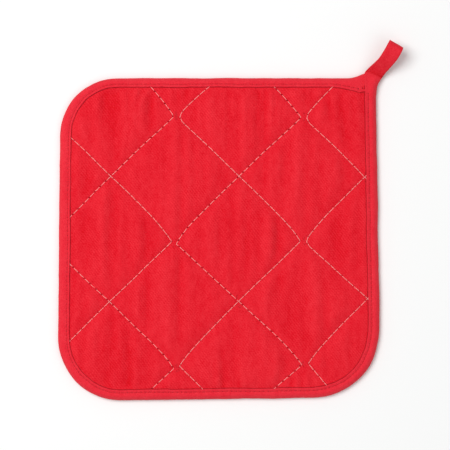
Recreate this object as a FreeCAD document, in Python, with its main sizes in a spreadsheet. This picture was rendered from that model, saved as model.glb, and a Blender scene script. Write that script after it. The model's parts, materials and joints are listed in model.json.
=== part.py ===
import FreeCAD, Part
import math
import os

import Sketcher

# A square quilted pot holder with a bound edge and a hanging loop at one corner.
#
# Frame: +Z up, +X to the right and +Y towards the loop's end of the pad. The origin is the centre of the
# pad on the surface it rests on. Every soft layer is drawn about the pad's mid-plane and then raised by
# half the pad's thickness, so the two faces of the pad are mirror images and the pad is reversible.

SIZES = {
    # the quilted panel
    "pad_width": 200.0,         # across X, over the binding
    "pad_length": 200.0,        # across Y, over the binding
    "corner_radius": 35.0,      # the three round corners; the loop's corner is square
    "cover_ply": 0.6,           # cotton twill, one ply
    "wadding_ply": 2.6,         # one of the two layers of cotton wadding, at its fullest
    "margin_half": 1.8,         # from the mid-plane to the panel's face where the binding presses it flat
    "shoulder_run": 9.0,        # how far inside the binding the pad reaches its full thickness
    # the quilting seams
    "middle_column": 12.8,      # X of the middle column of crossed seams
    "column_pitch": 79.8,       # from one column to the next
    "middle_turn": -2.2,        # Y of the middle row of turns
    "turn_pitch": 78.0,         # from one turn of a seam to the next
    "turn_reach": 38.0,         # from a column's centre out to a turn
    "valley_reach": 5.5,        # from a seam to the crown of the puff beside it
    "thread_width": 0.7,
    "thread_ply": 0.3,
    # the binding
    "tape_ply": 0.7,            # double-fold tape, one leg
    "binding_width": 6.5,
    "fold_radius": 1.6,         # where the tape turns round the panel's edge
    "topstitch_inset": 5.0,     # from the outer edge to the row of stitches that closes the binding
    # the hanging loop
    "loop_angle": 54.0,         # its heading, from +X towards +Y
    "loop_rise": 16.0,          # the slope at which it stands up off the table
    "loop_standoff": 2.0,       # from the pad's corner to the line where the loop bends
    "loop_offset": 3.5,         # from the pad's corner to the loop's centre line
    "loop_width": 9.0,
    "loop_ply": 1.1,            # folded tape
    "neck_length": 2.8,         # where the loop's two plies lie together
    "eye_length": 18.9,
    "eye_height": 7.2,
    "tab_ply": 0.5,             # the tape's ends, sewn over and under the corner
    "tab_length": 8.0,          # how far they reach back over the corner
    "tab_taper": 3.6,           # the length over which they thin out to the bend line
    "bend_clearance": 0.5,      # round the line where the loop bends
}

QUARTER_TURN = 90           # degrees
PASSES = ("first", "second")
COLUMNS = ("left", "middle", "right")

# Expressions that several pieces share. Heights are counted from the pad's mid-plane.
PAD_HALF = "sizes.cover_ply + sizes.wadding_ply"
BINDING_HALF = "sizes.margin_half + sizes.tape_ply"
FIELD_INSET = "sizes.binding_width"
OVERCUT = "1"               # how far a cutting tool stands out of what it cuts
SEAM_FLOORS = {"first": "sizes.margin_half - sizes.thread_ply", "second": "sizes.margin_half"}

doc = FreeCAD.newDocument("pot_holder")
sheet = doc.addObject("Spreadsheet::Sheet", "sizes")
for row, (alias, value) in enumerate(SIZES.items(), start=1):
    sheet.set(f"A{row}", alias)
    sheet.set(f"B{row}", str(value))
    sheet.setAlias(f"B{row}", alias)
doc.recompute()

pieces = {}


def value_of(expression):
    """The number that an expression of the sheet's sizes has now."""
    result = sheet.evalExpression(expression.replace("sizes.", ""))
    return float(getattr(result, "Value", result))


def bind(sketch, constraint, expression):
    """Add a dimension to a sketch and tie it to the sheet."""
    index = sketch.addConstraint(constraint)
    sketch.setExpression(f"Constraints[{index}]", expression)


def publish(name, piece):
    """Keep a finished piece as a sub-part of its own, raised from the mid-plane to its place."""
    sub_part = doc.addObject("Part::Compound", f"{name}_piece")
    sub_part.Links = [piece]
    sub_part.Label = name
    sub_part.setExpression("Placement.Base.z", PAD_HALF)
    pieces[name] = sub_part


def new_sketch(body, name, role="XY_Plane", lift=None):
    """A sketch on one of a body's own planes, lifted off it by an expression."""
    sketch = body.newObject("Sketcher::SketchObject", name)
    plane = next(feature for feature in body.Origin.OriginFeatures if feature.Role == role)
    sketch.AttachmentSupport = [(plane, "")]
    sketch.MapMode = "FlatFace"
    if lift:
        sketch.setExpression("AttachmentOffset.Base.z", lift)
    return sketch


def add_arc(sketch, centre_x, centre_y, radius, start, end):
    """An arc in a sketch, from start to end in degrees."""
    circle = Part.Circle(FreeCAD.Vector(centre_x, centre_y, 0), FreeCAD.Vector(0, 0, 1), radius)
    return sketch.addGeometry(Part.ArcOfCircle(circle, math.radians(start), math.radians(end)), False)


def add_panel_outline(sketch, inset="0"):
    """Draw the panel's outline, moved inwards: three round corners, and a square one at +X +Y."""
    half_x = f"sizes.pad_width / 2 - ({inset})"
    half_y = f"sizes.pad_length / 2 - ({inset})"
    radius = f"sizes.corner_radius - ({inset})"
    x, y, r = (value_of(expression) for expression in (half_x, half_y, radius))
    first = sketch.GeometryCount
    bottom, low_right, right, top, high_left, left, low_left = range(first, first + 7)

    def line(x0, y0, x1, y1):
        sketch.addGeometry(Part.LineSegment(FreeCAD.Vector(x0, y0, 0), FreeCAD.Vector(x1, y1, 0)), False)

    def corner(cx, cy, turn):
        add_arc(sketch, cx, cy, r, turn * QUARTER_TURN, (turn + 1) * QUARTER_TURN)

    line(-x + r, -y, x - r, -y)
    corner(x - r, -y + r, 3)
    line(x, -y + r, x, y)
    line(x, y, -x + r, y)
    corner(-x + r, y - r, 1)
    line(-x, y - r, -x, -y + r)
    corner(-x + r, -y + r, 2)
    for before, after in ((bottom, low_right), (low_right, right), (top, high_left),
                          (high_left, left), (left, low_left), (low_left, bottom)):
        sketch.addConstraint(Sketcher.Constraint("Tangent", before, 2, after, 1))
    sketch.addConstraint(Sketcher.Constraint("Coincident", right, 2, top, 1))
    for level in (bottom, top):
        sketch.addConstraint(Sketcher.Constraint("Horizontal", level))
    for upright in (right, left):
        sketch.addConstraint(Sketcher.Constraint("Vertical", upright))
    bind(sketch, Sketcher.Constraint("DistanceX", -1, 1, right, 2, x), half_x)
    bind(sketch, Sketcher.Constraint("DistanceY", -1, 1, right, 2, y), half_y)
    bind(sketch, Sketcher.Constraint("DistanceX", left, 1, -1, 1, x), half_x)
    bind(sketch, Sketcher.Constraint("DistanceY", bottom, 1, -1, 1, y), half_y)
    for arc in (low_right, high_left, low_left):
        bind(sketch, Sketcher.Constraint("Radius", arc, r), radius)


def add_polygon(sketch, corners, closed=True):
    """Draw straight runs between corners given as pairs of expressions."""
    values = [tuple(value_of(part) for part in corner) for corner in corners]
    points = [FreeCAD.Vector(x, y, 0) for x, y in values]
    first = sketch.GeometryCount
    runs = len(points) if closed else len(points) - 1
    for run in range(runs):
        sketch.addGeometry(Part.LineSegment(points[run], points[(run + 1) % len(points)]), False)
        if run:
            sketch.addConstraint(Sketcher.Constraint("Coincident", first + run - 1, 2, first + run, 1))
    if closed:
        sketch.addConstraint(Sketcher.Constraint("Coincident", first + runs - 1, 2, first, 1))
    for index, (corner, point) in enumerate(zip(corners, points)):
        end = (first + index, 1) if index < runs else (first + runs - 1, 2)
        bind(sketch, Sketcher.Constraint("DistanceX", -1, 1, *end, point.x), corner[0])
        bind(sketch, Sketcher.Constraint("DistanceY", -1, 1, *end, point.y), corner[1])


def add_pad(body, sketch, length, midplane=False, name="Pad"):
    """Pad a sketch by an expression."""
    pad = body.newObject("PartDesign::Pad", name)
    pad.Profile = sketch
    pad.Midplane = midplane
    pad.setExpression("Length", length)
    sketch.Visibility = False
    return pad


# ---------------------------------------------------------------------------------------------
# The quilting seams: in each column two zigzags of opposite phase cross between their turns.
# ---------------------------------------------------------------------------------------------
TURNS = range(-2, 3)


def seam_corners(column, phase):
    """The turns of one seam, as pairs of expressions, from below the panel to above it."""
    corners = []
    for turn in TURNS:
        side = "+" if (turn + PASSES.index(phase)) % 2 == 0 else "-"
        x = f"sizes.middle_column + {COLUMNS.index(column) - 1} * sizes.column_pitch {side} sizes.turn_reach"
        y = f"sizes.middle_turn + {turn} * sizes.turn_pitch"
        corners.append((x, y))
    return corners


def add_seam_path(column, phase):
    """The zigzag line of one seam, on the mid-plane."""
    path = doc.addObject("Sketcher::SketchObject", f"{column}_{phase}_path")
    add_polygon(path, seam_corners(column, phase), closed=False)
    return path


def add_valley(column, phase, path):
    """The valley that a seam pulls into the pad, as a swept tool with a flat floor for the thread."""
    floor = SEAM_FLOORS[phase]
    half = "sizes.thread_width / 2"
    depth = f"({PAD_HALF} - ({floor}))"
    reach = f"({half} + (sizes.valley_reach - {half}) * ({depth} + {OVERCUT}) / {depth})"
    rim = f"{depth} + {OVERCUT}"
    section = doc.addObject("Sketcher::SketchObject", f"{column}_{phase}_section")
    add_polygon(section, ((f"-{half}", "0"), (half, "0"), (reach, rim), (f"-{reach}", rim)))
    start = seam_corners(column, phase)[0]
    side = "1" if phase == "first" else "-1"
    slant = "90 deg - atan(sizes.turn_pitch / (2 * sizes.turn_reach))"
    turn = f"rotationz({side} * ({slant})) * rotationx(90 deg)"
    section.setExpression("Placement", f"placement(vector({start[0]}; {start[1]}; {floor}); {turn})")
    sweep = doc.addObject("Part::Sweep", f"{column}_{phase}_valley")
    sweep.Sections = [section]
    sweep.Spine = (path, [f"Edge{edge}" for edge in range(1, len(TURNS))])
    sweep.Solid = True
    sweep.Transition = "Right corner"
    return sweep


def add_thread(column, phase, path, field):
    """The needle thread of one seam, lying on its valley's floor as far as the binding."""
    strip = doc.addObject("Part::Offset2D", f"{column}_{phase}_strip")
    strip.Source = path
    strip.Mode = "Pipe"
    strip.Join = "Arc"
    strip.Fill = True
    strip.setExpression("Value", "sizes.thread_width / 2")
    ribbon = doc.addObject("Part::Extrusion", f"{column}_{phase}_ribbon")
    ribbon.Base = strip
    ribbon.DirMode = "Custom"
    ribbon.Dir = FreeCAD.Vector(0, 0, 1)
    ribbon.Solid = True
    ribbon.setExpression("LengthFwd", "sizes.thread_ply")
    ribbon.setExpression("Placement.Base.z", SEAM_FLOORS[phase])
    thread = doc.addObject("Part::MultiCommon", f"{column}_{phase}_thread")
    thread.Shapes = [ribbon, field]
    return thread


def add_mirror(name, source):
    """The same layer on the pad's other face."""
    mirror = doc.addObject("Part::Mirroring", f"{name}_mirror")
    mirror.Source = source
    mirror.Normal = FreeCAD.Vector(0, 0, 1)
    return mirror


# ---------------------------------------------------------------------------------------------
# The quilted panel: two covers and two layers of wadding, pressed flat under the binding.
# ---------------------------------------------------------------------------------------------
def add_blank(name, peel):
    """Half of the panel before quilting, above the mid-plane, with its face lowered by peel."""
    body = doc.addObject("PartDesign::Body", name)
    margin = new_sketch(body, f"{name}_margin")
    add_panel_outline(margin, "sizes.tape_ply")
    add_pad(body, margin, f"sizes.margin_half - {peel}", name=f"{name}_slab")
    foot = new_sketch(body, f"{name}_foot", lift=f"sizes.margin_half - {peel}")
    add_panel_outline(foot, FIELD_INSET)
    crown = new_sketch(body, f"{name}_crown", lift=f"{PAD_HALF} - {peel}")
    add_panel_outline(crown, f"{FIELD_INSET} + sizes.shoulder_run")
    shoulder = body.newObject("PartDesign::AdditiveLoft", f"{name}_shoulder")
    shoulder.Profile = foot
    shoulder.Sections = [crown]
    shoulder.Ruled = True
    return body


def add_quilted_half(name, blank, valleys):
    """A blank with the seams' valleys pulled into it."""
    quilted = doc.addObject("Part::Cut", name)
    quilted.Base = blank
    quilted.Tool = valleys
    return quilted


field_body = doc.addObject("PartDesign::Body", "field")
field_sketch = new_sketch(field_body, "field_outline")
add_panel_outline(field_sketch, FIELD_INSET)
add_pad(field_body, field_sketch, f"2 * ({PAD_HALF})", name="field_pad")

valley_sweeps = []
threads = {}
for column in COLUMNS:
    for phase in PASSES:
        seam_path = add_seam_path(column, phase)
        valley_sweeps.append(add_valley(column, phase, seam_path))
        threads[column, phase] = add_thread(column, phase, seam_path, field_body)

valleys = doc.addObject("Part::MultiFuse", "valleys")
valleys.Shapes = valley_sweeps
lowered_valleys = doc.addObject("Part::Compound", "lowered_valleys")
lowered_valleys.Links = [valleys]
lowered_valleys.setExpression("Placement.Base.z", "-sizes.cover_ply")

outer_half = add_quilted_half("outer_half", add_blank("outer_blank", "0"), valleys)
inner_half = add_quilted_half("inner_half", add_blank("inner_blank", "sizes.cover_ply"), lowered_valleys)
cover = doc.addObject("Part::Cut", "cover")
cover.Base = outer_half
cover.Tool = inner_half

publish("back_cover", add_mirror("back_cover", cover))
publish("lower_wadding", add_mirror("lower_wadding", inner_half))
publish("upper_wadding", inner_half)
publish("front_cover", cover)
for (column, phase), thread in threads.items():
    publish(f"bobbin_thread_{column}_{phase}", add_mirror(f"bobbin_{column}_{phase}", thread))
    publish(f"needle_thread_{column}_{phase}", thread)


# ---------------------------------------------------------------------------------------------
# The binding: a folded tape round the edge, closed by one row of stitches through all layers.
# ---------------------------------------------------------------------------------------------
def add_envelope(name):
    """The binding's outer form, with its folds rounded, without the panel in it."""
    body = doc.addObject("PartDesign::Body", name)
    outline = new_sketch(body, f"{name}_outline")
    add_panel_outline(outline)
    pad = add_pad(body, outline, f"2 * ({BINDING_HALF})", midplane=True, name=f"{name}_pad")
    doc.recompute()
    half = value_of(BINDING_HALF)
    rims = []
    for index, edge in enumerate(pad.Shape.Edges, start=1):
        box = edge.BoundBox
        if box.ZLength < 1e-6 and abs(abs(box.ZMin) - half) < 1e-6:
            rims.append(f"Edge{index}")
    fillet = body.newObject("PartDesign::Fillet", f"{name}_folds")
    fillet.Base = (pad, rims)
    fillet.setExpression("Radius", "sizes.fold_radius")
    return body


def add_binding_body():
    """The folded tape: the envelope, open over the field and hollow over the panel's margin."""
    body = add_envelope("binding")
    window = new_sketch(body, "binding_window")
    add_panel_outline(window, FIELD_INSET)
    opening = body.newObject("PartDesign::Pocket", "binding_opening")
    opening.Profile = window
    opening.Midplane = True
    opening.setExpression("Length", f"4 * ({BINDING_HALF})")
    fold = new_sketch(body, "binding_fold")
    add_panel_outline(fold, "sizes.tape_ply")
    hollow = body.newObject("PartDesign::Pocket", "binding_hollow")
    hollow.Profile = fold
    hollow.Midplane = True
    hollow.setExpression("Length", "2 * sizes.margin_half")
    return body


def add_topstitch():
    """The row of needle stitches round the binding, sunk flush into its face."""
    body = doc.addObject("PartDesign::Body", "topstitch")
    row = new_sketch(body, "topstitch_row", lift=f"{BINDING_HALF} - sizes.thread_ply")
    add_panel_outline(row, "sizes.topstitch_inset - sizes.thread_width / 2")
    add_panel_outline(row, "sizes.topstitch_inset + sizes.thread_width / 2")
    add_pad(body, row, "sizes.thread_ply", name="topstitch_pad")
    return body


topstitch = add_topstitch()
understitch = add_mirror("understitch", topstitch)
both_rows = doc.addObject("Part::MultiFuse", "both_rows")
both_rows.Shapes = [topstitch, understitch]
binding = doc.addObject("Part::Cut", "stitched_binding")
binding.Base = add_binding_body()
binding.Tool = both_rows
publish("edge_binding", binding)
publish("binding_bobbin_thread", understitch)
publish("binding_needle_thread", topstitch)


# ---------------------------------------------------------------------------------------------
# The hanging loop: the tape runs on past the corner, folds back and is sewn down at the corner.
# Its two pieces are drawn from the side, with the line where the loop bends at the sketch's origin.
# ---------------------------------------------------------------------------------------------
EYE_BOW = ("(sizes.eye_length * sizes.eye_length + sizes.eye_height * sizes.eye_height)"
           " / (4 * sizes.eye_height)")
EYE_FAR = "sizes.neck_length + sizes.eye_length"


def place_at_bend(piece, rise="0"):
    """Stand a piece drawn on the XZ plane at the loop's bend line, along the loop's heading."""
    heading = "sizes.loop_angle * 1 deg"
    x = (f"sizes.pad_width / 2 + sizes.loop_standoff * cos({heading})"
         f" - sizes.loop_offset * sin({heading})")
    y = (f"sizes.pad_length / 2 + sizes.loop_standoff * sin({heading})"
         f" + sizes.loop_offset * cos({heading})")
    turn = f"rotationz({heading}) * rotationy(-1 deg * {rise})"
    piece.setExpression("Placement", f"placement(vector({x}; {y}; 0); {turn})")


def add_neck_side(body):
    """The two plies lying together, with a round end about the bend line."""
    ply, neck = value_of("loop_ply"), value_of("neck_length")
    side = new_sketch(body, "neck_side", role="XZ_Plane")
    turn = add_arc(side, 0, 0, ply, QUARTER_TURN, 3 * QUARTER_TURN)
    corners = [FreeCAD.Vector(x, z, 0) for x, z in ((0, -ply), (neck, -ply), (neck, ply), (0, ply))]
    low, end, top = (side.addGeometry(Part.LineSegment(start, finish), False)
                     for start, finish in zip(corners, corners[1:]))
    side.addConstraint(Sketcher.Constraint("Coincident", turn, 3, -1, 1))
    side.addConstraint(Sketcher.Constraint("Tangent", turn, 2, low, 1))
    side.addConstraint(Sketcher.Constraint("Tangent", top, 2, turn, 1))
    side.addConstraint(Sketcher.Constraint("Coincident", low, 2, end, 1))
    side.addConstraint(Sketcher.Constraint("Coincident", end, 2, top, 1))
    side.addConstraint(Sketcher.Constraint("Horizontal", low))
    side.addConstraint(Sketcher.Constraint("Vertical", end))
    bind(side, Sketcher.Constraint("Radius", turn, ply), "sizes.loop_ply")
    bind(side, Sketcher.Constraint("DistanceX", -1, 1, end, 1, neck), "sizes.neck_length")
    return side


def add_eye_side(body, name, ply):
    """A long eye in side view, grown outwards by ply: two bows, with round ends unless ply is none."""
    neck, far, bow = value_of("neck_length"), value_of("neck_length + eye_length"), value_of(EYE_BOW)
    grow = value_of(ply) if ply else 0
    middle = (neck + far) / 2
    drop = bow - value_of("eye_height") / 2
    lean = math.degrees(math.asin((far - neck) / 2 / bow))
    side = new_sketch(body, name, role="XZ_Plane")
    up, down = QUARTER_TURN, 3 * QUARTER_TURN
    upper = add_arc(side, middle, -drop, bow + grow, up - lean, up + lean)
    lower = add_arc(side, middle, drop, bow + grow, down - lean, down + lean)
    if not ply:
        side.addConstraint(Sketcher.Constraint("Coincident", upper, 2, lower, 1))
        side.addConstraint(Sketcher.Constraint("Coincident", lower, 2, upper, 1))
        ends = ((upper, 2, "sizes.neck_length", neck), (upper, 1, EYE_FAR, far))
    else:
        root = add_arc(side, neck, 0, grow, up + lean, down - lean)
        tip = add_arc(side, far, 0, grow, lean - up, up - lean)
        for before, after in ((upper, root), (root, lower), (lower, tip), (tip, upper)):
            side.addConstraint(Sketcher.Constraint("Tangent", before, 2, after, 1))
        for end in (root, tip):
            bind(side, Sketcher.Constraint("Radius", end, grow), ply)
        ends = ((root, 3, "sizes.neck_length", neck), (tip, 3, EYE_FAR, far))
    for arc, part, place, x in ends:
        bind(side, Sketcher.Constraint("DistanceX", -1, 1, arc, part, x), place)
        side.addConstraint(Sketcher.Constraint("PointOnObject", arc, part, -1))
    for arc in (upper, lower):
        bind(side, Sketcher.Constraint("Radius", arc, bow + grow), f"{EYE_BOW} + {ply}" if ply else EYE_BOW)
    return side


def add_loop():
    """Two plies of tape that lie together at the neck, part round the eye and meet in the end fold."""
    body = doc.addObject("PartDesign::Body", "loop")
    add_pad(body, add_neck_side(body), "sizes.loop_width", midplane=True, name="neck")
    add_pad(body, add_eye_side(body, "tape_side", "sizes.loop_ply"), "sizes.loop_width", True, "tape")
    eye = body.newObject("PartDesign::Pocket", "eye")
    eye.Profile = add_eye_side(body, "eye_side", None)
    eye.Midplane = True
    eye.setExpression("Length", "2 * sizes.loop_width")
    return body


def add_anchor():
    """The tape's sewn-down ends: a tab over the corner and one under it, narrowing to the bend line."""
    full = f"({BINDING_HALF} + sizes.tab_ply)"
    nose = "sizes.loop_ply / 2"
    front = "-sizes.loop_ply - sizes.bend_clearance"
    brow = f"{front} - sizes.tab_taper"
    back = "-sizes.loop_standoff - sizes.tab_length"
    body = doc.addObject("PartDesign::Body", "anchor")
    side = new_sketch(body, "anchor_side", role="XZ_Plane")
    add_polygon(side, ((back, f"-{full}"), (brow, f"-{full}"), (front, f"-{nose}"),
                       (front, nose), (brow, full), (back, full)))
    add_pad(body, side, "sizes.loop_width", midplane=True, name="anchor_pad")
    return body


loop = add_loop()
place_at_bend(loop, rise="sizes.loop_rise")
publish("hanging_loop", loop)

anchor_body = add_anchor()
place_at_bend(anchor_body)
anchor = doc.addObject("Part::Cut", "loop_ends")
anchor.Base = anchor_body
anchor.Tool = add_envelope("corner")
publish("loop_anchor", anchor)


# ---------------------------------------------------------------------------------------------
# Check every object, then write one file for each sub-part.
# ---------------------------------------------------------------------------------------------
doc.recompute()
failed = [item.Name for item in doc.Objects if {"Invalid", "Error"} & set(item.State)]
if failed:
    raise RuntimeError(f"these objects did not build: {failed}")
os.makedirs("parts", exist_ok=True)
for name, piece in sorted(pieces.items()):
    shape = piece.Shape
    if shape.isNull() or not shape.isValid() or not shape.Solids:
        raise RuntimeError(f"{name} has no valid solid")
    shape.exportStep(f"parts/{name}.step")
    print(f"{name}: {len(shape.Solids)} solid(s), {shape.Volume:.1f} mm3")
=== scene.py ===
"""A square quilted pot holder: two twill covers over cotton wadding, a taped edge and a hanging loop."""

from __future__ import annotations

import json
import logging
import math
from bisect import bisect_left
from dataclasses import dataclass, field
from enum import Enum
from functools import cached_property, lru_cache
from itertools import accumulate
from typing import Callable, Sequence

import bmesh
import bpy
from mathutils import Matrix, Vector, noise

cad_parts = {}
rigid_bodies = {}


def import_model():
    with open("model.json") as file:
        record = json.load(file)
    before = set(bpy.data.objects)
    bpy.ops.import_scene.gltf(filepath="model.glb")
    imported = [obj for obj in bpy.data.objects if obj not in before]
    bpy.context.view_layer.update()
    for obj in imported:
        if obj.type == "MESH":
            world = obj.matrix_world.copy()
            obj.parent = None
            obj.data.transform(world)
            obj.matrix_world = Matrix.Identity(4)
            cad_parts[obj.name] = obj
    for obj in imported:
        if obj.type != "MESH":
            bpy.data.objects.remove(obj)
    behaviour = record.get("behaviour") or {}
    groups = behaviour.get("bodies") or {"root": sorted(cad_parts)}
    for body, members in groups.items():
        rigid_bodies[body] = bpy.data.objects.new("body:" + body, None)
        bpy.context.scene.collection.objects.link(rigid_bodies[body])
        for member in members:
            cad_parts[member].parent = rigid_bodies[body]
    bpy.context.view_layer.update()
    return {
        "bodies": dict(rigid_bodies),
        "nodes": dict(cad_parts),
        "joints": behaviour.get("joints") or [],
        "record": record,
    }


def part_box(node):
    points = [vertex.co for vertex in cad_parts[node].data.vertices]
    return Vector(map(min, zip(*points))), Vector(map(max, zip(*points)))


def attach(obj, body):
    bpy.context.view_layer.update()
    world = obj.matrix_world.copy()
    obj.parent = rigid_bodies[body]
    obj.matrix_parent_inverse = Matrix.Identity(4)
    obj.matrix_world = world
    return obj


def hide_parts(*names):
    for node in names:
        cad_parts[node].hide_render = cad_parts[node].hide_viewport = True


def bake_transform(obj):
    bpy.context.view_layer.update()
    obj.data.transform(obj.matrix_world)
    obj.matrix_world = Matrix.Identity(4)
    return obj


Mesh = bmesh.types.BMesh
Piece = bpy.types.Object
Material = bpy.types.Material
Node = bpy.types.Node
Socket = bpy.types.NodeSocket
Rgba = tuple[float, float, float, float]

LOG = logging.getLogger("pot_holder")
MM = 0.001
UP = Vector((0.0, 0.0, 1.0))


class Side(Enum):
    """A face of the pad: the sign of its heights, and the words for its cover, wadding and threads."""

    FRONT = (1, "front", "upper", "needle")
    BACK = (-1, "back", "lower", "bobbin")

    def __init__(self, sign: int, face: str, layer: str, thread: str) -> None:
        """Name the values."""
        self.sign, self.face, self.layer, self.thread = sign, face, layer, thread


class Line(Enum):
    """The break between two stitches, in millimetres, and how dark the painted shade in the needle's hole is.
    """

    DASHED = (1.5, 1.0)
    UNBROKEN = (0.5, 0.55)

    def __init__(self, gap: float, hole: float) -> None:
        """Name the values."""
        self.gap, self.hole = gap, hole


def held_between(value: float, low: float, high: float) -> float:
    """Keep a value between two others."""
    return max(low, min(high, value))


def ease(value: float, start: float, end: float) -> float:
    """Give a smooth step from 0 at start to 1 at end."""
    share = held_between((value - start) / (end - start), 0.0, 1.0)
    return share * share * (3.0 - 2.0 * share)


def bell(offset: float, reach: float) -> float:
    """Give the height of a smooth bump: 1 in its middle, and nearly nothing at twice its reach."""
    return math.exp(-((offset / reach) ** 2))


def smooth_row(rows: Sequence[Sequence[float]], share: float) -> list[float]:
    """Read a smooth curve that runs near its control rows and touches the first and last.

    Args:
        rows: Control rows, each with the same number of values.
        share: How far along the curve, from 0 to 1.

    Returns:
        One row of values.
    """
    travel = held_between(share, 0.0, 1.0) * (len(rows) - 1)
    at = min(int(travel), len(rows) - 2)
    t = travel - at
    before = rows[at - 1] if at else [2 * a - b for a, b in zip(rows[0], rows[1])]
    after = rows[at + 2] if at + 2 < len(rows) else [2 * a - b for a, b in zip(rows[-1], rows[-2])]
    weights = ((1 - t) ** 3, 3 * t**3 - 6 * t * t + 4, -3 * t**3 + 3 * t * t + 3 * t + 1, t**3)
    columns = zip(before, rows[at], rows[at + 1], after)
    return [sum(w * v for w, v in zip(weights, column)) / 6 for column in columns]


def ribbon(
    faces: tuple[int, int],
    size: tuple[float, float],
    place: Callable[[float, float], Vector],
    start: float = 0.0,
) -> Mesh:
    """Lay a grid of faces out on a surface, with a map of its flat size.

    Args:
        faces: How many faces run along it and across it.
        size: The flat length and width that the map is scaled to, in metres.
        place: Gives the point for a share along and a share across.
        start: The length that the map begins at, in metres.

    Returns:
        The new mesh.
    """
    bm = bmesh.new()
    bmesh.ops.create_grid(bm, x_segments=faces[0], y_segments=faces[1], size=0.5)
    layer = bm.loops.layers.uv.new("Flat")
    for face in bm.faces:
        for loop in face.loops:
            along, across = loop.vert.co.x + 0.5, loop.vert.co.y + 0.5
            loop[layer].uv = (start + along * size[0], across * size[1])
    for vert in bm.verts:
        vert.co = place(vert.co.x + 0.5, vert.co.y + 0.5)
    return bm


def cord_along(points: Sequence[Vector], thickness: float, sides: int = 6) -> Mesh:
    """Draw a thread of round section through points, closed at both ends.

    Args:
        points: The thread's centre line.
        thickness: The thread's diameter in metres.
        sides: How many faces go round it.

    Returns:
        The new mesh.
    """
    last, tip = len(points) - 1, 0.35

    def place(share: float, turn: float) -> Vector:
        """Give a point of the thread's skin.

        Args:
            share: How far along the thread, from 0 to 1.
            turn: How far round it, from 0 to 1.

        Returns:
            The point.
        """
        at = round(share * last)
        ahead = (points[min(at + 1, last)] - points[max(at - 1, 0)]).normalized()
        aside = UP.cross(ahead).normalized()
        angle = 2 * math.pi * turn
        radius = thickness / 2 * (tip if at in (0, last) else 1.0)
        return points[at] + radius * (math.cos(angle) * aside + math.sin(angle) * aside.cross(ahead))

    length = sum((b - a).length for a, b in zip(points, points[1:]))
    bm = ribbon((last, sides), (length, math.pi * thickness), place)
    bmesh.ops.remove_doubles(bm, verts=bm.verts, dist=1e-7)
    bmesh.ops.holes_fill(bm, edges=[edge for edge in bm.edges if edge.is_boundary], sides=0)
    return bm


def join(parts: Sequence[Mesh]) -> Mesh:
    """Gather several meshes in the first of them.

    Args:
        parts: The meshes, of which all but the first are used up.

    Returns:
        The first of them.
    """
    whole = parts[0]
    for part in parts[1:]:
        mesh = bpy.data.meshes.new("part")
        part.to_mesh(mesh)
        part.free()
        whole.from_mesh(mesh)
        bpy.data.meshes.remove(mesh)
    return whole


def placed(name: str, data: bpy.types.ID) -> Piece:
    """Put a new object in the scene.

    Args:
        name: The object's name.
        data: Its mesh, lamp or camera.

    Returns:
        The object.
    """
    thing = bpy.data.objects.new(name, data)
    bpy.context.scene.collection.objects.link(thing)
    return thing


def finished(name: str, bm: Mesh, material: Material, outward: bool = True) -> Piece:
    """Turn a mesh into a smooth-shaded object with one material.

    Args:
        name: The piece's name.
        bm: Its mesh, which is used up.
        material: Its finish.
        outward: Whether its faces are turned outwards first.

    Returns:
        The new object.
    """
    if outward:
        bmesh.ops.recalc_face_normals(bm, faces=bm.faces)
    mesh = bpy.data.meshes.new(name)
    bm.to_mesh(mesh)
    bm.free()
    mesh.polygons.foreach_set("use_smooth", [True] * len(mesh.polygons))
    mesh.materials.append(material)
    return placed(name, mesh)


def thicken(piece: Piece, ply: float) -> None:
    """Give a sheet its cloth's thickness in millimetres, half on each side."""
    wall = piece.modifiers.new("wall", "SOLIDIFY")
    wall.thickness, wall.offset = ply * MM, 0.0


@dataclass(frozen=True)
class Wander:
    """A smooth wander, the same on every run: its reach to each side, its wavelengths and its seed."""

    reach: float
    across: float
    seed: float
    along: float = 1.0

    def at(self, x: float, y: float = 0.0) -> float:
        """Give how far off it is at a place."""
        return self.reach * (1.6 * noise.noise(Vector((x / self.across, y / self.along, self.seed))))


@dataclass(frozen=True)
class Room:
    """The space that the fixed frame gives each layer, in metres."""

    half_width: float
    half_length: float
    middle: float

    @classmethod
    def measured(cls) -> Room:
        """Read the pad's size and its mid-plane from the frame.

        Returns:
            The space.
        """
        low, high = (Vector(corner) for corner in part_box("edge_binding"))
        half = (high - low) / 2
        return cls(half.x, half.y, (high.z + low.z) / 2)


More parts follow.
